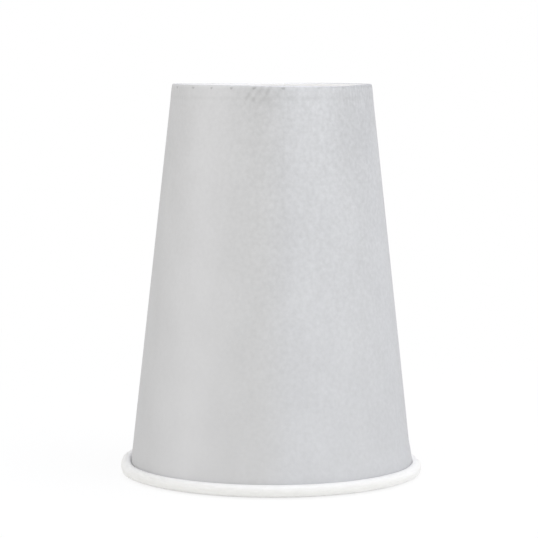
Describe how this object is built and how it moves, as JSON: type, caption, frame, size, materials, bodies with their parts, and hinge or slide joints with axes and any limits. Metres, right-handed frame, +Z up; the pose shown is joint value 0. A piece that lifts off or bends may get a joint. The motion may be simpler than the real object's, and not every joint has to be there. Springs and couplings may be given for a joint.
{
  "type": "paper cup",
  "caption": "Tapered paper drinking cup standing upside down on its rolled rim, with a lapped side seam, a folded foot and a recessed bottom disc.",
  "frame": {"origin": "on the cup's axis, at the level of the surface that its rolled rim rests on", "axes": "+Z up along the cup's axis from the mouth to the closed foot, +Y towards the side seam at the back, -Y towards the front"},
  "size_m": [0.0778, 0.0778, 0.1004],
  "materials": {
    "silver_board": "matte pale silver print over coated board, white uncoloured board at the rim and inside",
    "white_board": "white board with a thin satin plastic coat"
  },
  "bodies": {
    "root": {"side_wall": "silver_board", "bottom_disc": "white_board"}
  },
  "joints": []
}
